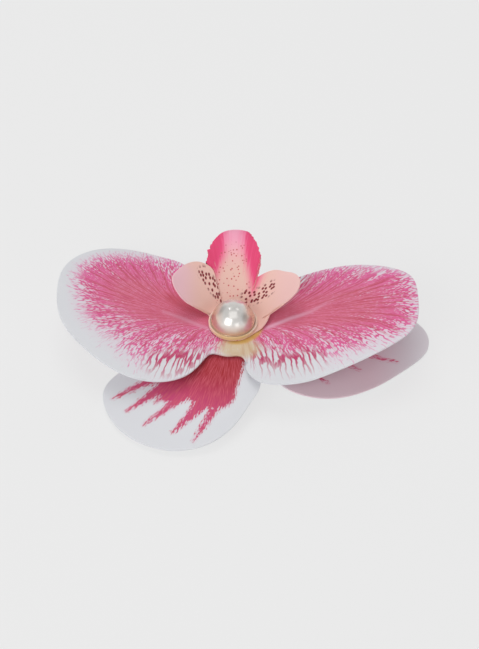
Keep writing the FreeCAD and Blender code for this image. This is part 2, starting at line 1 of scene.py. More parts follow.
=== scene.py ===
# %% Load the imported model
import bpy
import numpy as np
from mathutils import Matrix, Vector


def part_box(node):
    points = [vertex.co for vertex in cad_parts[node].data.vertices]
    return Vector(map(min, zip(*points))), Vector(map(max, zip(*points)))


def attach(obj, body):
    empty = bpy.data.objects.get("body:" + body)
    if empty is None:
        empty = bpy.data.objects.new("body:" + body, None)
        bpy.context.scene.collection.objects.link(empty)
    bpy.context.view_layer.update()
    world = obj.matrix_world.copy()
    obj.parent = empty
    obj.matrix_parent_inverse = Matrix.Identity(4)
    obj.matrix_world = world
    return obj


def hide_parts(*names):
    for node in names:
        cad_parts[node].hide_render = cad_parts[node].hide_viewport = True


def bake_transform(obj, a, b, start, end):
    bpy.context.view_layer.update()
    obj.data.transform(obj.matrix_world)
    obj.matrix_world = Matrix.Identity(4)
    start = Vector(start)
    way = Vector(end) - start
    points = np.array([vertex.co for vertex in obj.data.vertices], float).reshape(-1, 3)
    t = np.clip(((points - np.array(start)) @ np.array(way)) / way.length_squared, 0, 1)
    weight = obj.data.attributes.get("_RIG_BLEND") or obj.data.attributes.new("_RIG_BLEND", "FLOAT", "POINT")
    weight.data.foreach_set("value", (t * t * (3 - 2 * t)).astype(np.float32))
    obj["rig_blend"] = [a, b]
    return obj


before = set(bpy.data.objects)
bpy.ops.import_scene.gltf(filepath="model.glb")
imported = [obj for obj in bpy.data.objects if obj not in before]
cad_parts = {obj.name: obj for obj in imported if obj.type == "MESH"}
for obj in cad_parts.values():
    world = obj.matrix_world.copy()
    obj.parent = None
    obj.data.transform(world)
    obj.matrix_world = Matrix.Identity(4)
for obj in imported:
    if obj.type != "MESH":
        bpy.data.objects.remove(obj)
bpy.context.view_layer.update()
print("nodes:", sorted(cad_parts))

# %% [markdown]
# # A flower hair clip
# The object is a cloth orchid on a small sprung clip. Three layers of printed cloth are shaped with
# heat and stacked on a plastic hub: sepals below, two broad petals on them, and a standing lip on
# top, with a half pearl glued in the middle. Under the flower are a felt pad, a bead of hot-melt
# glue and a steel clip with a hinge pin and a torsion spring. The hard pieces keep their
# engineering shape and get a finish here. The cloth, the pearl, the felt, the glue bead and the
# spring are modelled again.

# %% Tools and units
import math

import bmesh
import bpy
import numpy as np
from mathutils import Vector, noise

MM = 0.001
FLOWER = "flower_and_upper_arm"
JAW = "lower_jaw"


def corners(node):
    """The lowest and the highest corner of a carried-over piece, in millimetres."""
    return [Vector(corner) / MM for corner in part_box(node)]


pearl_base, pearl_top = (corner.z for corner in corners("half_pearl"))
print(f"pearl base at {pearl_base:.2f} mm, top at {pearl_top:.2f} mm")

# %% [markdown]
# ## Camera
# The camera looks down at 44 degrees from the front with a long lens, so that the petals keep
# their true proportions. It could track a target, but as it looks straight along Y, one turn about
# X is enough.

# %% Camera
ELEVATION = math.radians(44)
CAMERA_DISTANCE = 491.2
AIM_RIGHT = 1.77
AIM_DOWN = 0.95
camera_up = Vector((0, math.sin(ELEVATION), math.cos(ELEVATION)))
view_direction = Vector((0, math.cos(ELEVATION), -math.sin(ELEVATION)))
aim = Vector((AIM_RIGHT, 0, pearl_base)) - AIM_DOWN * camera_up
camera_data = bpy.data.cameras.new("camera")
camera_data.lens = 100
camera_data.sensor_width = 36
camera_data.clip_end = 20
camera = bpy.data.objects.new("camera", camera_data)
camera.location = (aim - CAMERA_DISTANCE * view_direction) * MM
camera.rotation_euler = (math.pi / 2 - ELEVATION, 0, 0)
bpy.context.scene.collection.objects.link(camera)
bpy.context.scene.camera = camera
bpy.context.scene.view_settings.view_transform = "Standard"
print(f"camera at {[round(part, 3) for part in camera.location]} m")

# %% [markdown]
# ## Writing node trees in code
# A material is a small graph. In the editor each node is added and wired with the mouse. In code one
# function adds a node, sets its options, and fills its inputs with plain values or other nodes.
# Inputs go by name, or in order where there are few: Map Range takes a value, the range it comes
# from and the range it goes to, and Mix keeps its share at 0 and its two colours at 6 and 7.
# Colours are hex codes, which have to be turned into linear light before a shader can use them.


# %% Colours and nodes
def linear(code):
    """A colour from its sRGB hex code, as the linear values that a shader works in."""
    parts = [int(code[at:at + 2], 16) / 255 for at in (1, 3, 5)]
    return [part / 12.92 if part <= 0.04045 else ((part + 0.055) / 1.055) ** 2.4 for part in parts] + [1.0]


def set_inputs(tree, node, inputs):
    """Fills inputs, by name or in order, with plain values, outputs, or nodes for their first live output."""
    for name, given in inputs.items() if isinstance(inputs, dict) else enumerate(inputs):
        if isinstance(given, bpy.types.Node):
            given = next(output for output in given.outputs if output.enabled)
        if isinstance(given, bpy.types.NodeSocket):
            tree.links.new(given, node.inputs[name])
        else:
            node.inputs[name].default_value = given


def add_node(tree, kind, inputs=(), **settings):
    """Adds a shader node with its settings and its inputs."""
    node = tree.nodes.new("ShaderNode" + kind)
    for name, setting in settings.items():
        setattr(node, name, setting)
    set_inputs(tree, node, inputs)
    return node


def new_material(name, inputs=()):
    """A material with one Principled shader; returns it with its tree and its shader."""
    material = bpy.data.materials.new(name)
    material.use_nodes = True
    tree = material.node_tree
    shader = tree.nodes["Principled BSDF"]
    set_inputs(tree, shader, inputs)
    return material, tree, shader


# %% [markdown]
# ## Light and floor
# Small accessories are shown in a light tent: even light from all sides, a broad soft panel above
# and a softbox at the front. One bright world would do for the cloth, but the half pearl mirrors
# the whole room, so the room gets two dark corners and some cards that only shiny surfaces see.
# The floor is pale paper lit from below, as on a light table, so shadows on it stay faint.

# %% World
HORIZON_STRENGTH = 0.98
TOP_STRENGTH = 0.44
DARK_CORNERS = [(-0.74, 0.55, 0.38), (0.92, -0.10, 0.38)]
world = bpy.data.worlds.new("studio")
world.use_nodes = True
bpy.context.scene.world = world
sky = world.node_tree
sky_way = add_node(sky, "TexCoord").outputs["Generated"]
sky_height = add_node(sky, "SeparateXYZ", {"Vector": sky_way}).outputs["Z"]
brightness = add_node(sky, "MapRange", (sky_height, 0.0, 1.0, HORIZON_STRENGTH, TOP_STRENGTH))
for corner in DARK_CORNERS:
    towards = add_node(sky, "VectorMath", (sky_way, corner), operation="DOT_PRODUCT")
    darkness = add_node(sky, "MapRange", (towards, 0.88, 0.99, 0.0, 0.55))
    brightness = add_node(sky, "Math", (brightness, darkness), operation="SUBTRACT")
set_inputs(sky, sky.nodes["Background"], {"Color": (1.0, 1.0, 1.0, 1.0), "Strength": brightness})
print(f"world: {HORIZON_STRENGTH} at the horizon, {TOP_STRENGTH} above")


# %% Panels
def add_panel(name, place, size, power, lights=True, mirrored=True):
    """A square soft panel that faces the flower; it may be kept out of the light or out of reflections."""
    light = bpy.data.lights.new(name, "AREA")
    light.shape = "SQUARE"
    light.size = size
    light.energy = power
    lamp = bpy.data.objects.new(name, light)
    lamp.location = place
    lamp.rotation_euler = (-Vector(place)).to_track_quat("-Z", "Y").to_euler()
    lamp.visible_diffuse = lights
    lamp.visible_glossy = mirrored
    bpy.context.scene.collection.objects.link(lamp)


add_panel("overhead_panel", (-0.10, 0.26, 0.95), 0.60, 2.5, mirrored=False)
add_panel("front_left_softbox", (-0.36, -0.60, 0.50), 0.50, 1.8)
add_panel("front_right_card", (0.30, -0.76, 0.32), 0.30, 0.22, lights=False)
add_panel("ceiling_card", (0.02, -0.20, 0.85), 0.62, 0.75, lights=False)
add_panel("small_top_light", (-0.22, 0.36, 0.80), 0.09, 0.10, lights=False)
add_panel("second_top_light", (0.30, 0.29, 0.76), 0.09, 0.06, lights=False)
print(f"{len(bpy.data.lights)} panels")


# %% Floor
def add_piece(name, bm, materials):
    """Turns a bmesh into an object in the scene, shaded smooth, with its materials."""
    mesh = bpy.data.meshes.new(name)
    bm.to_mesh(mesh)
    bm.free()
    mesh.shade_smooth()
    for material in materials:
        mesh.materials.append(material)
    piece = bpy.data.objects.new(name, mesh)
    bpy.context.scene.collection.objects.link(piece)
    print(f"{name}: {len(mesh.polygons)} faces")
    return piece


# Uncoated paper: no gloss at all, and here most of its brightness is its own glow.
paper, _, _ = new_material("lit_paper_table", {
    "Base Color": linear("#7C7C7C"), "Roughness": 0.9, "Specular IOR Level": 0.0,
    "Emission Color": linear("#FFFFFF"), "Emission Strength": 0.637})
# The floor lies a hair below the clip's flat underside, so that the two faces don't share a plane.
FLOOR_HALF = 6
FLOOR_LEVEL = -0.02
floor_bm = bmesh.new()
bmesh.ops.create_grid(floor_bm, x_segments=1, y_segments=1, size=FLOOR_HALF)
bmesh.ops.translate(floor_bm, verts=floor_bm.verts, vec=(0, 0, FLOOR_LEVEL * MM))
floor = add_piece("paper_floor", floor_bm, [paper])

# %% [markdown]
# ## How a layer of the flower is made
# A factory cuts each layer from printed cloth in one piece, with a hole for the hub's peg, and
# presses it in a hot mould. A cloth simulation could drape the layers, but heat-set cloth keeps the
# mould's shape, so the mould is used here directly. A plain grid is the cloth: its columns become
# the threads that fan out from the hub to the cut edge, its rows become rings, and every point gets
# its height from the mould. This keeps the cut edge exact, and it tells each point how far along
# the edge and how far in from the edge it is, which the printed veins follow.


# %% Smooth closed lines
def smooth_loop(stops, count):
    """Evenly spaced points on a smooth closed line through the stops, and the distance travelled.

    A stop starts with its x and y in plan; the numbers after them change just as smoothly."""
    knots = np.array(stops, float)
    count_stops = len(knots)
    gap = np.linalg.norm(np.roll(knots, -1, axis=0)[:, :2] - knots[:, :2], axis=1)
    slope = (np.roll(knots, -1, axis=0) - knots) / gap[:, None]
    # A cubic line with even bending through every stop: one equation for the bend at each stop.
    system = np.zeros((count_stops, count_stops))
    for at in range(count_stops):
        system[at, at - 1] += gap[at - 1]
        system[at, at] += 2 * (gap[at - 1] + gap[at])
        system[at, (at + 1) % count_stops] += gap[at]
    bend = np.linalg.solve(system, 6 * (slope - np.roll(slope, 1, axis=0)))
    after, bend_after = np.roll(knots, -1, axis=0), np.roll(bend, -1, axis=0)
    square = (gap ** 2)[:, None] / 6
    pieces = []
    for share in np.linspace(0, 1, 24, endpoint=False):
        left, right = 1 - share, share
        pieces.append(left * knots + right * after
                      + ((left ** 3 - left) * bend + (right ** 3 - right) * bend_after) * square)
    line = np.stack(pieces, axis=1).reshape(-1, knots.shape[1])
    line = np.vstack([line, line[:1]])
    travelled = np.append(0, np.cumsum(np.linalg.norm(np.diff(line[:, :2], axis=0), axis=1)))
    wanted = np.linspace(0, travelled[-1], count + 1)
    columns = [np.interp(wanted, travelled, line[:, at]) for at in range(line.shape[1])]
    return wanted, np.stack(columns, axis=1)


def smooth_step(share):
    """Turns a share from 0 to 1 into one that starts and ends gently."""
    share = min(max(share, 0), 1)
    return share * share * (3 - 2 * share)


# %% One layer of cloth
def press_layer(name, stops, columns, rings, thread, height, marks, thickness, cloth):
    """A layer of cloth: thread(stop, share) gives a place in plan, height(x, y, stop) its level.

    marks(x, y, inset, stop) gives the numbers that are kept at each point for the print."""
    edge_mm, edge = smooth_loop(stops, columns)
    bm = bmesh.new()
    bmesh.ops.create_grid(bm, x_segments=columns, y_segments=rings, size=1)
    veins = bm.loops.layers.uv.new("veins")
    for key in marks(1, 1, 1, edge[0]):
        bm.verts.layers.float.new(key)
    for vert in bm.verts:
        column = round((vert.co.x + 1) / 2 * columns)
        stop = edge[column]
        x, y = thread(stop, round((vert.co.y + 1) / 2 * rings) / rings)
        inset = math.hypot(x - stop[0], y - stop[1])
        for loop in vert.link_loops:
            loop[veins].uv = (edge_mm[column] / 100, inset / 100)
        for key, number in marks(x, y, inset, stop).items():
            vert[bm.verts.layers.float[key]] = number
        vert.co = Vector((x, y, height(x, y, stop))) * MM
    bmesh.ops.remove_doubles(bm, verts=bm.verts, dist=0.001 * MM)
    bmesh.ops.reverse_faces(bm, faces=bm.faces)
    layer = add_piece(name, bm, cloth)
    body = layer.modifiers.new("cloth_thickness", "SOLIDIFY")
    body.thickness = thickness * MM
    body.offset = -1
    body.material_offset = 1
    soft_edge = layer.modifiers.new("cut_edge", "BEVEL")
    soft_edge.width = thickness * 0.25 * MM
    soft_edge.segments = 2
    soft_edge.limit_method = "ANGLE"
    soft_edge.angle_limit = math.radians(60)
    area = sum(face.area for face in layer.data.polygons)
    print(f"{name}: cloth area {area / MM ** 2:.0f} mm2")
    return layer, area


# %% [markdown]
# ## Printed cloth
# The cloth is polyester satin, heat-set with a matt face. The print is a dye that goes into the
# threads, so it changes the colour but not the gloss. It could be painted as a picture, but nodes
# stay sharp at any size and follow the cloth: their patterns lie along the threads, in the map
# called veins, where one unit is 100 mm. The numbers kept at each point, such as ink, say how
# strong the dye is there.

# %% Cloth
WHITE = linear("#DCDDE1")


def cloth_face(name, print_on):
    """A matt satin; print_on adds the nodes of the print and returns the node that ends in its colour."""
    material, tree, shader = new_material(name)
    place = add_node(tree, "TexCoord").outputs["Object"]
    # The real weave is finer than 0.1 mm; it is drawn at 0.25 mm so that it shows at all.
    weave = add_node(tree, "TexNoise", {"Vector": place, "Scale": 4000, "Detail": 1})
    bump = add_node(tree, "Bump", {"Height": weave, "Strength": 0.12, "Distance": 0.05 * MM})
    set_inputs(tree, shader, {"Base Color": print_on(tree), "Normal": bump, "Roughness": 0.72,
                              "Specular IOR Level": 0.25, "Sheen Weight": 0.04, "Sheen Roughness": 0.5})
    return material


# %% [markdown]
# ### Petal print
# Layers of colour lie over one another: a pale haze, a fill that breaks up at the margin and has
# small gaps, bold open veins near the neck, redder main veins about 3 mm apart, and last a crimson
# painted shadow beside the lip, a pale painted highlight along each midrib, the cream neck and the
# yellow crescent. All but the painted shadow and highlight are dye. A cell pattern gives the gaps,
# as the space round each cell's middle, and the bold veins, as the walls between cells. Noise that
# is stretched along the threads gives the streaks.


# %% Petal patterns
def petal_patterns(tree, ink):
    """The patterns along the petals' threads, and the reach of the dye, which they make uneven."""
    # The map is bent sideways a little, so that no vein is straight.
    veins = add_node(tree, "UVMap", uv_map="veins")
    wander = add_node(tree, "TexNoise", {"Vector": veins, "Scale": 14, "Detail": 3})
    sideways = add_node(tree, "VectorMath", (wander.outputs["Color"], (0.03, 0.0, 0.0)), operation="MULTIPLY")
    wavy = add_node(tree, "VectorMath", (veins, sideways), operation="ADD")
    found = {"across": add_node(tree, "SeparateXYZ", {"Vector": wavy}).outputs["X"]}
    # Each pattern has its own number of cells in 100 mm across the threads and along them.
    for name, cells in {"streaks": (185, 17, 1), "grain": (330, 75, 1), "patches": (30, 9, 1),
                        "gaps": (165, 58, 1), "bold": (62, 11, 1)}.items():
        found[name] = add_node(tree, "VectorMath", (wavy, cells), operation="MULTIPLY")
    reach = ink
    for name, detail, amount in (("patches", 1, 0.9), ("streaks", 3, 1.8), ("grain", 2, 1.5)):
        found[name] = add_node(tree, "TexNoise", {"Vector": found[name], "Scale": 1, "Detail": detail},
                               noise_dimensions="2D").outputs["Fac"]
        reach = add_node(tree, "Math", (found[name], amount, reach), operation="MULTIPLY_ADD")
    found["reach"] = add_node(tree, "Math", (reach, 1.95), operation="SUBTRACT")
    return found


# %% Petal fill
def petal_fill(tree, marks, found):
    """The rose fill with its small gaps, over a pale haze."""
    ink, grain, streaks = marks["ink"], found["grain"], found["streaks"]
    # The gaps close towards the middle of the petal and are larger in its lower half.
    gap_size = add_node(tree, "Math", (ink, -0.17, -0.08), operation="MULTIPLY_ADD")
    for widened, amount in ((found["patches"], 0.9), (marks["lower"], 0.13), (marks["net"], 0.10)):
        gap_size = add_node(tree, "Math", (widened, amount, gap_size), operation="MULTIPLY_ADD")
    cells = add_node(tree, "TexVoronoi", {"Vector": found["gaps"], "Scale": 1}, voronoi_dimensions="2D")
    inside = add_node(tree, "Math", (gap_size, cells), operation="SUBTRACT")
    kept = add_node(tree, "MapRange", (inside, 0.08, -0.03))
    dyed = add_node(tree, "MapRange", (found["reach"], -0.05, 0.65))
    dyed = add_node(tree, "Math", (dyed, kept), operation="MULTIPLY")
    # Mauve where the dye is thin, rose in the fill, redder towards the neck.
    depth = add_node(tree, "MapRange", (ink, 0.0, 3.0))
    fill = add_node(tree, "ValToRGB", {"Fac": depth})
    fill.color_ramp.elements[0].color = linear("#DD6FA8")
    fill.color_ramp.elements[1].color = linear("#D66E88")
    fill.color_ramp.elements.new(0.25).color = linear("#DE5C97")
    fill.color_ramp.elements.new(0.6).color = linear("#DD6B97")
    for texture, start, end, code in ((grain, 0.52, 0.72, "#E39CC0"), (streaks, 0.5, 0.32, "#C64A6C")):
        share = add_node(tree, "MapRange", (texture, start, end, 0.0, 0.8))
        fill = add_node(tree, "Mix", {0: share, 6: fill, 7: linear(code)}, data_type="RGBA")
    faint = add_node(tree, "MapRange", (ink, -0.5, 1.2, 0.0, 0.55))
    haze = add_node(tree, "Mix", {0: faint, 6: WHITE, 7: linear("#E6B4D0")}, data_type="RGBA")
    return add_node(tree, "Mix", {0: dyed, 6: haze, 7: fill}, data_type="RGBA")


# %% Bold veins near the neck
def bold_veins(tree, marks, found):
    """Open veins on white, about 1.6 mm apart, which narrow and fade out before the edge."""
    walls = add_node(tree, "TexVoronoi", {"Vector": found["bold"], "Scale": 1}, voronoi_dimensions="2D",
                     feature="DISTANCE_TO_EDGE")
    width = add_node(tree, "Math", (found["reach"], 0.08, 0.11), operation="MULTIPLY_ADD")
    width = add_node(tree, "Math", (width, 0.17), operation="MINIMUM")
    within = add_node(tree, "Math", (width, walls), operation="SUBTRACT")
    line = add_node(tree, "MapRange", (within, -0.025, 0.035))
    strength = add_node(tree, "Math", (found["streaks"], 0.8, marks["ink"]), operation="MULTIPLY_ADD")
    strength = add_node(tree, "MapRange", (strength, 0.0, 0.75))
    line = add_node(tree, "Math", (line, strength), operation="MULTIPLY")
    wine = add_node(tree, "Mix", {0: found["grain"], 6: linear("#CC3F76"), 7: linear("#AE2C50")},
                    data_type="RGBA")
    return add_node(tree, "Mix", {0: line, 6: WHITE, 7: wine}, data_type="RGBA")


# %% Petal print
def petal_print(tree):
    """The whole dye of the petals with a painted shadow and a painted highlight, its layers laid over one
    another.
    """
    marks = {name: add_node(tree, "Attribute", attribute_name=name).outputs["Fac"]
             for name in ("ink", "net", "lower", "flush", "ridge", "cream", "yellow")}
    found = petal_patterns(tree, marks["ink"])
    # Main veins: lines at the middles of cells along one axis, where the ink is strong enough.
    lanes = add_node(tree, "TexVoronoi", {"W": found["across"], "Scale": 30}, voronoi_dimensions="1D")
    lane = add_node(tree, "MapRange", (lanes, 0.15, 0.04))
    deep = add_node(tree, "MapRange", (marks["ink"], 0.2, 1.5, 0.0, 0.7))
    vein = add_node(tree, "Math", (lane, deep), operation="MULTIPLY")
    # The neck is airbrushed, so its cream is uneven.
    clouded = add_node(tree, "MapRange", (found["patches"], 0.35, 0.65))
    cream = add_node(tree, "Mix", {0: clouded, 6: linear("#CAA685"), 7: linear("#D8C4A6")},
                     data_type="RGBA")
    sprayed = add_node(tree, "MapRange", (found["grain"], 0.05, 0.42))
    blotched = add_node(tree, "Math", (marks["cream"], sprayed), operation="MULTIPLY")
    printed = petal_fill(tree, marks, found)
    # The crimson beside the lip is a painted shadow of its left lobe; the pale colour along the midribs is a
    # painted highlight.
    for share, colour in ((marks["net"], bold_veins(tree, marks, found)), (vein, linear("#C34E5C")),
                          (marks["flush"], linear("#B8404E")), (marks["ridge"], linear("#E6B2C9")),
                          (blotched, cream), (marks["yellow"], linear("#D0A452"))):
        printed = add_node(tree, "Mix", {0: share, 6: printed, 7: colour}, data_type="RGBA")
    return printed


# %% Back of the cloth
def faded(tree):
    """Dye that has soaked through: a pale, blurred blush."""
    ink = add_node(tree, "Attribute", attribute_name="ink").outputs["Fac"]
    soaked = add_node(tree, "MapRange", (ink, -0.2, 2.0, 0.0, 0.7))
    return add_node(tree, "Mix", {0: soaked, 6: WHITE, 7: linear("#E2A4BC")}, data_type="RGBA")


# Heat-set polyester satin, printed on one side: matt, with the faintest bloom where it turns away.
petal_face = cloth_face("printed_satin_petals", petal_print)
cloth_back = cloth_face("satin_back", faded)
print(f"petal print: {len(petal_face.node_tree.nodes)} nodes")

# %% [markdown]
# ## Petals
# Both petals are one piece with a cream neck between them. Each lifts from the neck to its tip
# and lets its long edges droop. The veins leave the neck along a midrib and bend away to the
# edge, so the threads do too: each thread is a curve that starts towards a point on the midrib.
# A stop of the outline gives x and y, the place of that point along the midrib, the width of
# the plain margin and the length over which the veins thin out, all in millimetres.

# %% Petal outline
PETAL_STOPS = [
    (50.0, 1.5, 26, -1.8, 5), (48.5, 11, 26, -1.0, 5), (43.6, 15.7, 25, 0.0, 6), (29, 20.4, 19, -1.5, 7),
    (20, 18.8, 14, -2.5, 8), (11, 13, 8, -2.5, 8), (7, 10.2, 4, -1, 8), (2.5, 11.6, 1, 0, 8),
    (-2, 12.2, -1, 0, 8), (-5, 12.9, -5, 0, 8), (-11, 21, -15, -2, 8), (-19.5, 28.6, -20, -0.5, 7),
    (-28.7, 31.6, -23, 2.2, 6), (-38.4, 30, -26, 3.2, 5), (-45.8, 22.9, -28, 3.3, 5),
    (-48.4, 10, -28, 4.6, 5), (-45.8, -3.8, -26, 5.5, 6), (-38.5, -13.3, -24, 6.5, 7),
    (-28.5, -20, -20, 5, 8), (-19.7, -21.4, -15, 3.5, 9), (-12.5, -19.3, -9, 1.5, 9),
    (-8, -13.7, -6, 0, 7), (-5.8, -11.1, -3, 0, 5), (-1.5, -12, -1, 1, 4), (2.2, -12.1, 0.5, 2, 4),
    (3.3, -14, 2, 3, 6), (3.5, -16.5, 3, 4.5, 8), (6.9, -21.3, 6, 6, 11), (13.1, -22.8, 11, 5.5, 10),
    (24, -21, 17, 4, 8), (40, -15.2, 24, 1.5, 6), (47.8, -9.8, 26, -0.5, 5),
]
HOLE = 1.6
FLAT = 7.0
PETAL_REACH = 50.0
PETAL_TOP = 9.8
PETAL_THICKNESS = 0.45
print(f"petals: {len(PETAL_STOPS)} stops")


def petal_thread(stop, share):
    """A curve from the peg hole to the edge that starts out along the midrib."""
    x, y, bend = stop[:3]
    angle = math.atan2(y, x)
    start = Vector((HOLE * math.cos(angle), HOLE * math.sin(angle)))
    midrib = Vector((bend, 0.22 * abs(bend) - 0.5))
    place = (1 - share) ** 2 * start + 2 * share * (1 - share) * midrib + share ** 2 * Vector((x, y))
    return place.x, place.y


def petal_height(x, y, stop):
    """The mould of the petals: lifting tips, drooping long edges and a slight wave."""
    rise = 5.0 if x < 0 else 9.0
    along = max(abs(x) - FLAT, 0) / (PETAL_REACH - FLAT)
    lift = 1.15 * rise * along * along / (along + 0.15)
    away = y / (PETAL_REACH / 2)
    droop = 2.0 * away * away * smooth_step(2.7 * along)
    wave = 0.25 * noise.noise(Vector((x, y, 0)) / 11) * smooth_step((math.hypot(x, y) - 12) / 10)
    return PETAL_TOP + lift - droop + wave


# %% [markdown]
# The print also needs to know where its zones are. Each zone is a short line in plan that the
# colour fades away from: the painted highlight along each midrib, the crimson painted shadow beside
# the lip's left lobe, and the places where the fill opens into bold veins.

# %% Petal zones
# Pale painted highlights lie along the midribs, where the petal folds and catches the light.
HIGHLIGHT_RIDGES = [
    [(9.5, -1.3), (15.6, 1.2), (21.3, 2.6), (26.6, 5.6), (31.3, 8.2)], [(-7, -1.5), (-13, 1.5), (-19, 4)]]
# Beside the lip's left lobe the petal gets a crimson painted shadow.
LIP_SHADOW_LINE = [(-7, 3.5), (-12, 6.5), (-17, 10)]
OPEN_NETS = [[(-19, -16), (-10, -14.5)], [(5, -12), (13, -17), (20, -16)], [(11, 11), (16, 17)]]


def distance_to_line(x, y, points):
    """The distance in plan from a point to a line through several points."""
    nearest = math.inf
    for first, last in zip(points, points[1:]):
        start, way = Vector(first), Vector(last) - Vector(first)
        share = min(max((Vector((x, y)) - start).dot(way) / way.length_squared, 0), 1)
        nearest = min(nearest, (Vector((x, y)) - start - way * share).length)
    return nearest


def petal_marks(x, y, inset, stop):
    """What the print needs at a point: ink strength, and how far it lies in each coloured zone, a painted
    shadow and a painted highlight among them.
    """
    plain, feather = stop[3:5]
    throat = math.hypot((x - 1.6) / 6.4, (y + 9.2) / 4.4)
    near_hub = math.hypot(x - 0.8, y + 0.3)
    ridge = min(distance_to_line(x, y, points) for points in HIGHLIGHT_RIDGES)
    net = min(distance_to_line(x, y, points) for points in OPEN_NETS)
    flush = distance_to_line(x, y, LIP_SHADOW_LINE)
    highlight_share = 0.8 if x > 0 else 0.35
    return {
        "ink": (inset - plain) / feather,
        # A pale painted highlight along the midrib fold.
        "ridge": highlight_share * (1 - smooth_step(ridge / 1.2)) * (1 - smooth_step((abs(x) - 12) / 20)),
        "net": 0.9 * (1 - smooth_step((net - 2.5) / 4.5)),
        "lower": smooth_step((5 - (y - 0.25 * abs(x))) / 10),
        # A crimson painted shadow, where the lip's left lobe shades the petal.
        "flush": 0.5 * (1 - smooth_step((flush - 0.5) / 2.6)),
        "cream": 1 - smooth_step((throat - 0.5) / 0.75),
        "yellow": 0.9 * (1 - smooth_step((near_hub - 6.9) / 1.0)) * smooth_step((x + 4) / 5),
    }


petals, petal_area = press_layer("petals", PETAL_STOPS, 480, 64, petal_thread, petal_height, petal_marks,
                                 PETAL_THICKNESS, [petal_face, cloth_back])
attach(petals, FLOWER)
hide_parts("petal_sheet")

# %% [markdown]
# ## Sepals
# The three sepals lie under the petals and fall to the table: one at the lower left, one at the
# right and one at the back. The same press makes them. Their print is bolder, a solid crimson heart
# with a few long fingers, which no repeating pattern gives. It is painted as brush strokes, each a
# line that narrows from its root to its tip, and each point keeps its distance inside the nearest.
# Near the hub the heart is deepened further as painted shade under the petals, and the right sepal
# gets a mauve painted shade where the right petal covers it.

# %% Sepal outline
SEPAL_STOPS = [
    (54, 0.3), (53.5, 6.5), (45.9, 14), (32.9, 18.9), (20, 17.8), (9.2, 10.3), (5.5, 7.8), (2.2, 9.2),
    (0, 16.2), (-3.2, 25.4), (-9.2, 29.7), (-16.2, 30.5), (-23.2, 28.6), (-27.5, 23.8), (-25.9, 17.3),
    (-18.4, 11.3), (-11.3, 6.3), (-9, 1.5), (-9.8, -3.4), (-17.8, -7.9), (-29, -11.5), (-34.5, -17.1),
    (-33.9, -24.3), (-26.2, -34.8), (-14.9, -39), (-6.8, -37.6), (0.2, -32.2), (4.9, -25), (7.5, -17.3),
    (6.9, -11), (8.2, -12.8), (13, -19.6), (22.1, -22), (34.3, -18.6), (47.8, -7.9),
]
SEPAL_TOP = 9.25
SEPAL_REACH = 54.0
SEPAL_FALL = 8.2
SEPAL_THICKNESS = 0.45
print(f"sepals: {len(SEPAL_STOPS)} stops")


def sepal_thread(stop, share):
    """A straight thread from the peg hole to the edge."""
    angle = math.atan2(stop[1], stop[0])
    start = Vector((HOLE * math.cos(angle), HOLE * math.sin(angle)))
    place = start.lerp(Vector(stop[:2]), share)
    return place.x, place.y


def sepal_height(x, y, stop):
    """The mould of the sepals: they fall from the hub and flatten out just above the table."""
    past = math.hypot(x, y) - FLAT
    along = min(max(past / (0.87 * (SEPAL_REACH - FLAT)), 0), 1)
    wave = 0.35 * noise.noise(Vector((x, y, 40)) / 13) * smooth_step(past / 14)
    return SEPAL_TOP - SEPAL_FALL * (0.5 * along + 0.5 * smooth_step(along)) + wave


# %% Sepal strokes
# Each stroke: its root, its tip, and its half width at the root and at the tip.
STROKES = [
    ((1.0, -8.0), (-4.0, -22.5), 3.3, 4.6), ((-4, -8), (-15, -20), 5, 5.0), ((-8, -10), (-19, -16), 4, 2.4),
    ((-5, -14), (-9.5, -22.5), 4, 2.6),
    ((-18, -15), (-32.1, -20.9), 1.7, 0.15), ((-17, -18.5), (-28.3, -25.6), 2.0, 0.15),
    ((-9, -19.5), (-23.4, -30.6), 1.9, 0.15), ((-6, -23), (-15.6, -33.6), 2.4, 0.2),
    ((-2.5, -23), (-10.3, -36.5), 1.5, 0.1), ((-15, -20), (-20.5, -24), 1.6, 0.2),
    ((8, -2), (26, 0), 5, 7), ((20, 4), (45, 7), 3.0, 0.3), ((22, 0), (40, 0.8), 3.0, 0.3),
    ((22, -2), (44.9, -6.1), 1.5, 0.1), ((16, -6), (34.2, -10.6), 1.6, 0.12),
    ((12, -8), (25.4, -16.8), 1.6, 0.12), ((18, 6), (38, 14), 2.4, 0.15),
    ((-3, 8), (-13, 18), 5, 7), ((-10, 16), (-12, 27), 2.2, 0.15), ((-13, 16), (-20, 26), 2.4, 0.15),
    ((-12, 14), (-24, 20), 2.2, 0.15), ((-7, 16), (-6, 25), 1.8, 0.15),
]
print(f"sepals: {len(STROKES)} brush strokes")


def distance_inside_stroke(x, y, stroke):
    """How far inside a stroke a point is; less than zero outside it."""
    root, tip = Vector(stroke[0]), Vector(stroke[1])
    way = tip - root
    share = min(max((Vector((x, y)) - root).dot(way) / way.length_squared, 0), 1)
    half_width = stroke[2] + (stroke[3] - stroke[2]) * share
    return half_width - (Vector((x, y)) - root - way * share).length


def sepal_marks(x, y, inset, stop):
    """What the print needs at a point: the strokes, the heart, deepened towards the hub as painted shade
    under the petals, and the mauve painted shade at the right.
    """
    return {
        "ink": max(distance_inside_stroke(x, y, stroke) for stroke in STROKES) / 2.0,
        # Crimson print that darkens towards the hub, where it is also painted shade under the petals.
        "heart": 1 - smooth_step((math.hypot(x, y) - 16) / 15),
        # The mauve is painted shade on the right sepal under the right petal, pink from light through that
        # petal, lighter towards its tip.
        "mauve": smooth_step((x - 10) / 6) * (1 - 0.75 * smooth_step((x - 36) / 16)),
    }


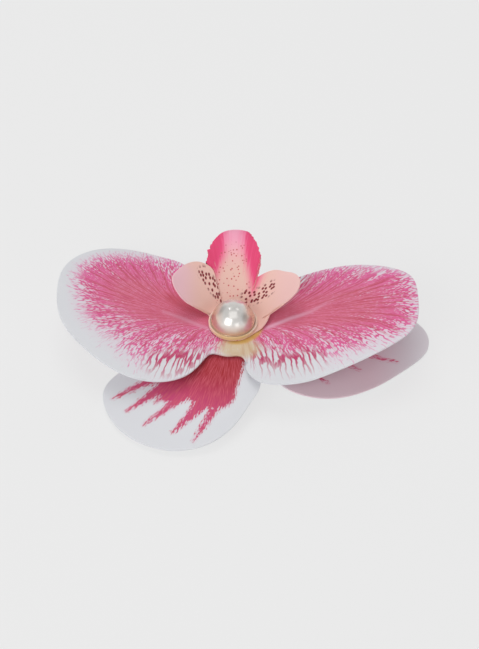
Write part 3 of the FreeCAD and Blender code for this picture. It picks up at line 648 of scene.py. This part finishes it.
# %% Sepal print
def sepal_print(tree):
    """The dye of the sepals with its painted shade: solid strokes whose edges fray into threads, on a faint
    haze.
    """
    marks = {name: add_node(tree, "Attribute", attribute_name=name).outputs["Fac"]
             for name in ("ink", "heart", "mauve")}
    veins = add_node(tree, "UVMap", uv_map="veins")
    noises = {}
    for name, cells, detail in (("fibres", (170, 30, 1), 4), ("crumbs", (210, 95, 1), 2)):
        place = add_node(tree, "VectorMath", (veins, cells), operation="MULTIPLY")
        noises[name] = add_node(tree, "TexNoise", {"Vector": place, "Scale": 1, "Detail": detail},
                                noise_dimensions="2D").outputs["Fac"]
    reach = marks["ink"]
    for uneven, amount in ((noises["fibres"], 1.1), (noises["crumbs"], 1.3)):
        reach = add_node(tree, "Math", (uneven, amount, reach), operation="MULTIPLY_ADD")
    reach = add_node(tree, "Math", (reach, 1.12), operation="SUBTRACT")
    dyed = add_node(tree, "MapRange", (reach, -0.10, 0.20))
    pale = add_node(tree, "MapRange", (noises["fibres"], 0.42, 0.7, 0.0, 0.75))
    faint = add_node(tree, "MapRange", (marks["ink"], -0.5, 0.4, 0.0, 0.4))
    strokes, ground = linear("#CB4C7A"), WHITE
    # Towards the hub the strokes turn dark crimson: print, deepened as painted shade under the petals.
    for share, code in ((marks["heart"], "#A83038"), (pale, "#CF6070")):
        strokes = add_node(tree, "Mix", {0: share, 6: strokes, 7: linear(code)}, data_type="RGBA")
    # The mauve ground is painted shade under the right petal.
    for share, code in ((marks["mauve"], "#DCC2CB"), (faint, "#DC93B5")):
        ground = add_node(tree, "Mix", {0: share, 6: ground, 7: linear(code)}, data_type="RGBA")
    return add_node(tree, "Mix", {0: dyed, 6: ground, 7: strokes}, data_type="RGBA")


# Satin again, with the print sunk into the threads: the face stays matt where it is dyed.
sepal_face = cloth_face("printed_satin_sepals", sepal_print)
print(f"sepal print: {len(sepal_face.node_tree.nodes)} nodes")

# %% Press the sepals
sepals, sepal_area = press_layer("sepals", SEPAL_STOPS, 480, 56, sepal_thread, sepal_height, sepal_marks,
                                 SEPAL_THICKNESS, [sepal_face, cloth_back])
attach(sepals, FLOWER)
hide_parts("sepal_sheet")

# %% [markdown]
# ## Lip
# The lip stands up behind the pearl like a funnel with a slot at the front. It has a tall middle
# lobe whose tip rolls over and whose sides are frilled, and two side lobes that spread over the
# petals; the left one laps in front of the middle lobe. Separate lobes would be easier to shape, but
# the real lip is one cut. A stop gives x, y and the angle on the hub from which the thread to that
# stop starts, so that lobes may overlap and still be one cloth.

# %% Lip outline
LIP_STOPS = [
    (18, 4.1, 24), (17.3, 7.8, 30), (14.0, 10.5, 38), (11.8, 11.9, 42), (9.5, 12.4, 46), (7.7, 12.3, 49),
    (6.6, 12.3, 52), (7.1, 13.6, 55), (7.4, 15, 58), (7.4, 16.6, 60), (6.6, 19.4, 65), (5.6, 21.4, 69),
    (4.3, 24, 75), (0.5, 25.5, 84), (-2.5, 24.2, 90), (-5, 21.2, 97), (-6.4, 18.8, 101), (-7.1, 16.2, 105),
    (-7.2, 13.5, 108), (-6, 9.8, 111), (-3.2, 7.2, 113), (-4.5, 11.2, 117), (-5.5, 13.5, 120),
    (-8.5, 14.3, 124), (-12.3, 12.8, 129), (-15.2, 9.6, 134), (-16.4, 6.4, 138), (-14.7, 3.6, 142),
    (-12, 2.7, 145), (-9, 3.5, 148), (-6.7, 3.3, 153), (-6.5, 0.8, 172), (-5.6, -3.3, 210),
    (-2.2, -6.1, 250), (-0.2, -6.5, 268), (2.0, -6.3, 290), (4.3, -5.0, 312), (6.7, -2.9, 335),
    (8.2, -1.6, 345), (9.5, 0.4, 357), (10.4, 1.9, 364), (12.5, 1.7, 369), (15.2, 1.7, 375), (17.1, 2.6, 380),
]
LIP_TOP = 10.25
LIP_THICKNESS = 0.32
ROLL_START = 9.984
FOOT = 6.4
FOOT_SHARE = 0.2
print(f"lip: {len(LIP_STOPS)} stops")


def unwrapped(stops):
    """Writes the angle as a pair that turns smoothly, so that the loop can close."""
    return [(x, y, math.cos(math.radians(turn)), math.sin(math.radians(turn))) for x, y, turn in stops]


def thread_angle(stop):
    """The angle on the hub, in degrees, from which the thread to a stop starts."""
    return math.degrees(math.atan2(stop[3], stop[2]))


# %% Lip mould
def frilled(stop):
    """The cut edge at a stop; the middle lobe's sides have small uneven teeth."""
    x, y = stop[:2]
    turn = thread_angle(stop)
    on_side = smooth_step((turn - 55) / 3) * smooth_step((111 - turn) / 2)
    on_side *= smooth_step((abs(turn - 85) - 7) / 4)
    tooth = 0.75 * noise.noise(Vector((x * 1.5, y * 1.5, 7))) + 0.35 * noise.noise(Vector((x * 4, y * 4, 3)))
    return Vector((x + math.copysign(0.55, x) * on_side * tooth, y + 0.2 * on_side * tooth))


def lip_thread(stop, share):
    """A straight thread over the hub's flat, then a straight one to the cut edge."""
    way = Vector(stop[2:4]).normalized()
    if share < FOOT_SHARE:
        place = way * (HOLE + (FOOT - HOLE) * share / FOOT_SHARE)
    else:
        place = (way * FOOT).lerp(frilled(stop), (share - FOOT_SHARE) / (1 - FOOT_SHARE))
    return place.x, place.y


def lip_height(x, y, stop):
    """The mould of the lip: a funnel whose far edge rolls over, with the left lobe lifted to lap."""
    past = max(math.hypot(x, y) - FLAT, 0)
    rolled = max(past - ROLL_START, 0)
    turn = thread_angle(stop)
    lap = smooth_step((turn - 112.5) / 2) * smooth_step((155 - turn) / 20) * smooth_step(past / 3)
    return LIP_TOP + 1.05 * past * past / (past + 1.5) - 0.0875 * rolled * rolled + 0.7 * lap


# %% Lip zones
SPOTTED = [[(-7.9, 12.0), (-5.5, 10.2), (-3.3, 8.6)], [(3.8, 8.8), (7.0, 8.0), (10.1, 8.4)]]


def lip_marks(x, y, inset, stop):
    """What the print needs at a point of the lip: how far it lies in each coloured zone."""
    turn = thread_angle(stop)
    middle = smooth_step((turn - 44) / 10) * smooth_step((113.5 - turn) / 1)
    stripe = 0.9 + (3.4 if x < 0.4 else 2.0) * (1 - smooth_step((y - 10) / 9))
    above = smooth_step((y - (8.5 if x < 0 else 6.5)) / 4.5)
    spots = min(distance_to_line(x, y, points) for points in SPOTTED)
    on_lobe = 1 if x > 0 else smooth_step((turn - 113) / 1)
    blush = (1 if x < 0 else 0.35) * (1 - middle)
    return {
        "crimson": middle * smooth_step((abs(x - 0.4) - stripe + 0.4) / 4.4) * above,
        "pink": middle * smooth_step((y - 14) / 8),
        "outer": blush * smooth_step((abs(x) - 8) / 7) * smooth_step((14.5 - y) / 4),
        "dots": smooth_step((22 - y) / 4) * (1 - smooth_step((abs(x) - 3.6) / 1.5)),
        "right": 1 if x > 0 else 0,
        "spots": on_lobe * (1 - smooth_step((spots - 1.2) / 1.0)),
    }


# %% [markdown]
# ### Lip print
# The lip is peach at the throat, with crimson sides and a pink tip on the middle lobe, small dots
# along its middle and two patches of dark spots. Each dot is the middle of a cell in a cell pattern
# with 1000 cells in a metre, so about 1 mm apart, and the cell's own random colour decides whether
# its dot is left out.


# %% Dots and spots
def dots_and_spots(tree, marks):
    """How strongly the small dots and the dark spots cover each point."""
    place = add_node(tree, "TexCoord").outputs["Object"]
    # The left spots are a little long towards the pearl, the right ones a little long across it.
    spacing = add_node(tree, "Mix", {0: marks["right"], 4: (1.0, 0.8, 0), 5: (0.8, 1.05, 0)},
                       data_type="VECTOR")
    spaced = add_node(tree, "VectorMath", (place, spacing), operation="MULTIPLY")
    covers = {}
    for name, where, axes, scale, left_out, outside, inside in (
            ("dots", place, "3D", 1000, 0.2, 0.27, 0.16), ("spots", spaced, "2D", 1150, 0.1, 0.38, 0.26)):
        cells = add_node(tree, "TexVoronoi", {"Vector": where, "Scale": scale, "Randomness": 0.9},
                         voronoi_dimensions=axes)
        printed = add_node(tree, "Math", (cells.outputs["Color"], left_out), operation="GREATER_THAN")
        cover = add_node(tree, "MapRange", (cells, outside, inside))
        for share in (printed, marks[name]):
            cover = add_node(tree, "Math", (cover, share), operation="MULTIPLY")
        covers[name] = cover
    return covers


# %% Lip print
def lip_print(tree):
    """The dye of the lip: peach, pink and crimson, with dots and spots on top."""
    marks = {name: add_node(tree, "Attribute", attribute_name=name).outputs["Fac"]
             for name in ("crimson", "pink", "outer", "dots", "right", "spots")}
    covers = dots_and_spots(tree, marks)
    # The crimson runs in along the threads, bright pink first and deeper towards the edge.
    veins = add_node(tree, "UVMap", uv_map="veins")
    along = add_node(tree, "VectorMath", (veins, (150, 12, 1)), operation="MULTIPLY")
    threads = add_node(tree, "TexNoise", {"Vector": along, "Scale": 1, "Detail": 2}, noise_dimensions="2D")
    uneven = add_node(tree, "Math", (threads, 0.5), operation="SUBTRACT")
    uneven = add_node(tree, "Math", (uneven, 0.55, marks["crimson"]), operation="MULTIPLY_ADD")
    most = add_node(tree, "Math", (marks["crimson"], 4.0), operation="MULTIPLY")
    amount = add_node(tree, "Math", (uneven, most), operation="MINIMUM")
    bright = add_node(tree, "MapRange", (amount, 0.0, 0.8))
    deep = add_node(tree, "MapRange", (amount, 0.5, 1.2, 0.0, 0.85))
    printed = linear("#ECC3B7")
    for share, code in ((marks["outer"], "#EFC4CC"), (marks["pink"], "#F7A6C0"), (bright, "#F05C8E"),
                        (deep, "#DE3F68"), (covers["dots"], "#CB6468"), (covers["spots"], "#842B35")):
        printed = add_node(tree, "Mix", {0: share, 6: printed, 7: linear(code)}, data_type="RGBA")
    return printed


def lip_soaked(tree):
    """The lip's back: the same zones, paler, where the dye has soaked through."""
    marks = {name: add_node(tree, "Attribute", attribute_name=name).outputs["Fac"]
             for name in ("crimson", "pink")}
    blush = add_node(tree, "MapRange", (marks["crimson"], 0.0, 1.0, 0.0, 0.7))
    soaked = linear("#EBC3B6")
    for share, code in ((marks["pink"], "#F2AFC3"), (blush, "#E2557C")):
        soaked = add_node(tree, "Mix", {0: share, 6: soaked, 7: linear(code)}, data_type="RGBA")
    return soaked


# A thinner satin, dyed peach before it is printed, so its back is peach too.
lip_face = cloth_face("printed_satin_lip", lip_print)
lip_back = cloth_face("satin_lip_back", lip_soaked)
print(f"lip print: {len(lip_face.node_tree.nodes)} nodes")

# %% Press the lip
lip, lip_area = press_layer("lip_cloth", unwrapped(LIP_STOPS), 560, 44, lip_thread, lip_height, lip_marks,
                            LIP_THICKNESS, [lip_face, lip_back])
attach(lip, FLOWER)
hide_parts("lip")

# %% [markdown]
# ## Half pearl
# The pearl is a half ball of clear resin with many thin coats of pearl lacquer. The lacquer holds
# tiny flakes, which shine softly from inside like a dull metal, under a clear coat that gives the
# sharp highlights, so the base is part metallic with a coat. Low down and on its flanks its colour
# is warmed to peach: a painted reflection of the peach and pink cloth around it.

# %% Pearl lacquer
pearl_lacquer, tree, shader = new_material("pearl_lacquer", {
    "Metallic": 0.6, "Roughness": 0.21, "Coat Weight": 0.35, "Coat Roughness": 0.12})
place = add_node(tree, "TexCoord").outputs["Object"]
axes = add_node(tree, "SeparateXYZ", {"Vector": place})
# Peach low down and on the flanks is a painted reflection of the cloth around the pearl.
low_down = add_node(tree, "MapRange", (axes.outputs["Z"], (pearl_base + 3.4) * MM, (pearl_base + 0.4) * MM))
sideways = add_node(tree, "Math", (axes.outputs["X"],), operation="ABSOLUTE")
flank = add_node(tree, "MapRange", (sideways, 2.4 * MM, 4.8 * MM, 0.0, 0.9))
painted_reflection = add_node(tree, "Math", (low_down, flank), operation="MAXIMUM")
lacquer_and_reflection = add_node(tree, "Mix", {0: painted_reflection, 6: linear("#E2DFDB"), 7: linear("#DDB9A2")}, data_type="RGBA")
# Ripples about 1.4 mm long, as the lacquer leaves them when it dries.
ripple = add_node(tree, "TexNoise", {"Vector": place, "Scale": 700, "Detail": 1})
bump = add_node(tree, "Bump", {"Height": ripple, "Strength": 0.05, "Distance": 0.1 * MM})
set_inputs(tree, shader, {"Base Color": lacquer_and_reflection, "Normal": bump})
print(f"pearl lacquer: {len(tree.nodes)} nodes")

# %% [markdown]
# Half a circle could be spun round the axis to give the pearl's shape; cutting a whole ball is
# quicker and gives the same skin. A plane cuts the ball, the cut is closed, and its sharp rim is
# rounded a little, as moulding leaves it.

# %% Pearl shape
RIM_ROUNDING = 0.12
pearl_bm = bmesh.new()
bmesh.ops.create_uvsphere(pearl_bm, u_segments=128, v_segments=64, radius=(pearl_top - pearl_base) * MM)
bmesh.ops.bisect_plane(pearl_bm, geom=pearl_bm.verts[:] + pearl_bm.edges[:] + pearl_bm.faces[:],
                       plane_co=(0, 0, 0), plane_no=(0, 0, 1), clear_inner=True)
rim = [edge for edge in pearl_bm.edges if edge.is_boundary]
bmesh.ops.contextual_create(pearl_bm, geom=rim)
bmesh.ops.bevel(pearl_bm, geom=rim, offset=RIM_ROUNDING * MM, segments=3, profile=0.5, affect="EDGES",
                material=-1)
bmesh.ops.translate(pearl_bm, verts=pearl_bm.verts, vec=(0, 0, pearl_base * MM))
pearl = add_piece("pearl_dome", pearl_bm, [pearl_lacquer])
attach(pearl, FLOWER)
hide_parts("half_pearl")

# %% [markdown]
# ## Finishes of the clip and the hub
# These are plain materials: moulded plastic, plated and drawn steel, glue and felt. Each could have
# one flat colour, but a real surface is never that even. One function gives them two tones in soft
# clouds about 4 mm wide, a roughness that varies, and a fine bump. The scale is the number of
# grains in a metre, and stretching the grain draws the lines that rolling leaves in a metal.


# %% One finish
def finish(name, codes, roughness, scale, stretch=(1, 1, 1), bump=0.1, depth=0.02, **shader_inputs):
    """A finish with two mixed tones, two roughness values and a fine bump; depth is in millimetres."""
    settings = {key.replace("_", " "): given for key, given in shader_inputs.items()}
    material, tree, shader = new_material(name, settings)
    place = add_node(tree, "TexCoord").outputs["Object"]
    grained = add_node(tree, "VectorMath", (place, stretch), operation="MULTIPLY")
    fine = add_node(tree, "TexNoise", {"Vector": grained, "Scale": scale, "Detail": 4})
    cloudy = add_node(tree, "TexNoise", {"Vector": place, "Scale": 250, "Detail": 2})
    share = add_node(tree, "MapRange", (cloudy, 0.35, 0.65))
    toned = add_node(tree, "Mix", {0: share, 6: linear(codes[0]), 7: linear(codes[1])}, data_type="RGBA")
    worn = add_node(tree, "MapRange", (fine, 0.3, 0.7, roughness[0], roughness[1]))
    raised = add_node(tree, "Bump", {"Height": fine, "Strength": bump, "Distance": depth * MM})
    set_inputs(tree, shader, {"Base Color": toned, "Roughness": worn, "Normal": raised})
    return material


# %% Plastics, glues and felt
# Injection-moulded plastic dyed right through: cloudy inside, a satin skin that copies the mould.
hub_plastic = finish("moulded_cream_plastic", ("#EBD0C2", "#E9CBB8"), (0.28, 0.45), 3000,
                     Subsurface_Weight=0.2, Subsurface_Radius=(0.002, 0.0012, 0.0005))
# The same plastic without dye, so milky white with a dull skin.
washer_plastic = finish("moulded_white_plastic", ("#E8E4DA", "#DED9CC"), (0.35, 0.5), 3000)
# A drop of clear glue: it sets smooth and lets most of the light through.
clear_glue = finish("clear_glue", ("#F4EBDA", "#EFE2CC"), (0.1, 0.2), 900, bump=0.05, Transmission_Weight=0.7)
# Hot-melt glue sets waxy and slightly yellow, and light goes a little way into it.
hot_melt = finish("hot_melt_glue", ("#E9DCB8", "#DDCB9E"), (0.22, 0.4), 1200, bump=0.2, depth=0.05,
                  Subsurface_Weight=0.4, Subsurface_Radius=(0.003, 0.002, 0.001))
# Needled polyester felt: short fibres, so it has no gloss and a pale fuzzy bloom. The fibres are
# about 0.02 mm thick; they are drawn ten times as coarse, so that they show.
felt_cloth = finish("needled_white_felt", ("#ECE9E3", "#DBD7CF"), (0.85, 1.0), 4200, bump=0.9, depth=0.15,
                    Sheen_Weight=0.4, Specular_IOR_Level=0.1)
print("five plastics, glues and felts")

# %% Golden front of the hub
# The hub is airbrushed golden at the front, where it shows below the pearl.
tree = hub_plastic.node_tree
shader = tree.nodes["Principled BSDF"]
clouds = shader.inputs["Base Color"].links[0].from_socket
place = add_node(tree, "TexCoord").outputs["Object"]
front = add_node(tree, "SeparateXYZ", {"Vector": place}).outputs["Y"]
sprayed = add_node(tree, "MapRange", (front, -3.0 * MM, -6.0 * MM, 0.0, 0.85))
golden = add_node(tree, "Mix", {0: sprayed, 6: clouds, 7: linear("#D9B57C")}, data_type="RGBA")
set_inputs(tree, shader, {"Base Color": golden})
print(f"hub plastic: {len(tree.nodes)} nodes")

# %% Metals
# Rolled strip steel, stamped and then nickel plated: a warm bright metal with faint rolling lines.
nickel = finish("nickel_plated_steel", ("#CDC9C2", "#BDB8B0"), (0.18, 0.34), 900, (1, 14, 14), 0.25, 0.01,
                Metallic=1.0)
# Plain drawn wire, for the pin and the spring: greyer, with a fine grain and a thin film of oil.
drawn_steel = finish("drawn_steel_wire", ("#B9B8B6", "#A5A4A3"), (0.22, 0.40), 2600, (1, 1, 1), 0.2, 0.01,
                     Metallic=1.0)
print("two metals")

# %% [markdown]
# ## Felt pad and glue bead
# The felt is a die-cut disc with a fuzzy rim, and the glue is a squeezed bead that bulges at its
# sides. A bevelled cylinder would look machined, so both are a grid bent into a closed skin: its
# columns run round the piece, its rows from the middle of the underside over the side to the middle
# of the top, and noise roughens the side.


# %% A closed skin
def closed_skin(name, columns, rows, place, material):
    """A closed piece whose surface is place(turn, share), in millimetres, both from 0 to 1."""
    bm = bmesh.new()
    bmesh.ops.create_grid(bm, x_segments=columns, y_segments=rows, size=1)
    for vert in bm.verts:
        vert.co = Vector(place((vert.co.x + 1) / 2, (vert.co.y + 1) / 2)) * MM
    bmesh.ops.remove_doubles(bm, verts=bm.verts, dist=0.0005 * MM)
    bmesh.ops.recalc_face_normals(bm, faces=bm.faces)
    return add_piece(name, bm, [material])


def rounded_layer(outline, under, over, rounding, roughness):
    """The place function of a flat layer with a rounded, slightly uneven side.

    The first 0.4 of the way runs outwards below, the next 0.2 up the side, the rest inwards above."""
    def place(turn, share):
        x, y = outline(turn)
        radius = math.hypot(x, y)
        if share < 0.4:
            inset, level = 1 - share / 0.4, under
        elif share > 0.6:
            inset, level = (share - 0.6) / 0.4, over
        else:
            inset, level = 0, under + (over - under) * (share - 0.4) / 0.2
        way = Vector((x, y)).normalized()
        from_level = min(level - under, over - level)
        curve = max(rounding - from_level, 0) / rounding
        edge = min(radius * (1 - inset), radius - rounding * (1 - math.sqrt(max(1 - curve * curve, 0))))
        rough = roughness * noise.noise(Vector((way.x * edge, way.y * edge, level)) * 1.7)
        edge = max(edge - abs(rough) * (edge / radius) ** 8, 0)
        sink = 0.5 * abs(rough) * (1 if share > 0.5 else -1)
        return way.x * edge, way.y * edge, level - sink
    return place


# %% Felt pad
felt_low, felt_high = corners("felt_pad")
felt_radius = (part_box("felt_pad")[1][0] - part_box("felt_pad")[0][0]) / 2 / MM


def felt_outline(turn):
    """The circle of the felt pad's edge."""
    return felt_radius * math.cos(math.tau * turn), felt_radius * math.sin(math.tau * turn)


felt = closed_skin("felt_disc", 240, 60, rounded_layer(felt_outline, felt_low.z, felt_high.z, 0.2, 0.22),
                   felt_cloth)
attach(felt, FLOWER)
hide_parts("felt_pad")

# %% Glue bead
glue_low, glue_high = corners("pad_glue")
glue_half = (glue_high - glue_low) / 2
SQUARENESS = 0.55


def glue_outline(turn):
    """A long blob: nearly a rectangle with round ends, a little uneven."""
    angle = math.tau * turn
    x = glue_half.x * math.copysign(abs(math.cos(angle)) ** SQUARENESS, math.cos(angle))
    y = glue_half.y * math.copysign(abs(math.sin(angle)) ** SQUARENESS, math.sin(angle))
    squeezed = 1 - 0.05 * abs(noise.noise(Vector((x, y, 9)) / 3))
    return x * squeezed, y * squeezed


glue = closed_skin("glue_bead", 160, 40, rounded_layer(glue_outline, glue_low.z, glue_high.z, 0.14, 0.05),
                   hot_melt)
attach(glue, FLOWER)
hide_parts("pad_glue")

# %% [markdown]
# ## Torsion spring
# The spring is one drawn wire: a coil round the pin and a straight leg at each end, which push the
# arms' thumb ends apart. A curve with a round bevel could make it, but the legs have to leave the
# coil at exact angles, so its middle line is worked out first and a circle follows it. The wire
# twists between the two arms, so it is blended across the joint instead of riding on one body.

# %% Middle line of the wire
pin_low, pin_high = corners("hinge_pin")
pin_middle = (pin_low + pin_high) / 2
COIL_RADIUS = 1.7
WIRE_RADIUS = 0.35
HALF_COIL = 1.6
COIL_TURNS = 4
COIL_STEPS = 240
LEG = 8.0
LEG_STEPS = 12
LEG_FALL = math.radians(3.6)
LEG_RISE = math.radians(7.1)
START = -math.pi / 2 + LEG_FALL
TURNING = COIL_TURNS * math.tau + math.pi - LEG_RISE - LEG_FALL


def on_coil(share):
    """A point on the coil and the way the wire runs there."""
    angle = START + TURNING * share
    point = Vector((COIL_RADIUS * math.cos(angle), HALF_COIL * (1 - 2 * share),
                    COIL_RADIUS * math.sin(angle)))
    way = Vector((-COIL_RADIUS * TURNING * math.sin(angle), -2 * HALF_COIL,
                  COIL_RADIUS * TURNING * math.cos(angle))).normalized()
    return Vector((pin_middle.x, 0, pin_middle.z)) + point, way


first, _ = on_coil(0)
last, _ = on_coil(1)
first_leg = Vector((math.sin(START), 0, -math.cos(START)))
last_leg = Vector((-math.sin(START + TURNING), 0, math.cos(START + TURNING)))
wire_line = [(first + first_leg * LEG * (1 - step / LEG_STEPS), -first_leg) for step in range(LEG_STEPS)]
wire_line += [on_coil(step / COIL_STEPS) for step in range(COIL_STEPS + 1)]
wire_line += [(last + last_leg * LEG * (step + 1) / LEG_STEPS, last_leg) for step in range(LEG_STEPS)]
print(f"spring: {len(wire_line)} points, {COIL_TURNS} turns")

# %% Spring wire
END_RINGS = 3


def wire_skin(turn, share):
    """A point on the wire: its line is followed by a circle that closes at both cut ends."""
    ring = round(share * (len(wire_line) + END_RINGS))
    step = min(max(ring - 2, 0), len(wire_line) - 1)
    point, way = wire_line[step]
    from_end = min(ring, len(wire_line) + END_RINGS - ring)
    radius = WIRE_RADIUS * (0, 0.8, 1)[min(from_end, 2)]
    side = Vector((0, 1, 0)).cross(way).normalized()
    over = way.cross(side)
    return point + (side * math.cos(math.tau * turn) + over * math.sin(math.tau * turn)) * radius


spring = closed_skin("spring_wire", 20, len(wire_line) + END_RINGS, wire_skin, drawn_steel)
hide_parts("torsion_spring")
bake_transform(spring, FLOWER, JAW, start=(pin_middle.x * MM, -1.4 * MM, pin_middle.z * MM),
         end=(pin_middle.x * MM, 1.4 * MM, pin_middle.z * MM))

# %% [markdown]
# ## Hard pieces that keep their shape
# The hub, the washer, the clear glue, the two steel arms and the pin were drawn as solids with
# their real thickness and roundings, so they are taken as they are and get a finish.

# %% Carried-over pieces
for node, material in {"throat_hub": hub_plastic, "hub_washer": washer_plastic, "pearl_glue": clear_glue,
                       "upper_arm": nickel, "lower_arm": nickel, "hinge_pin": drawn_steel}.items():
    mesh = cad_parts[node].data
    mesh.materials.clear()
    mesh.materials.append(material)
    print(f"{node}: {material.name}")
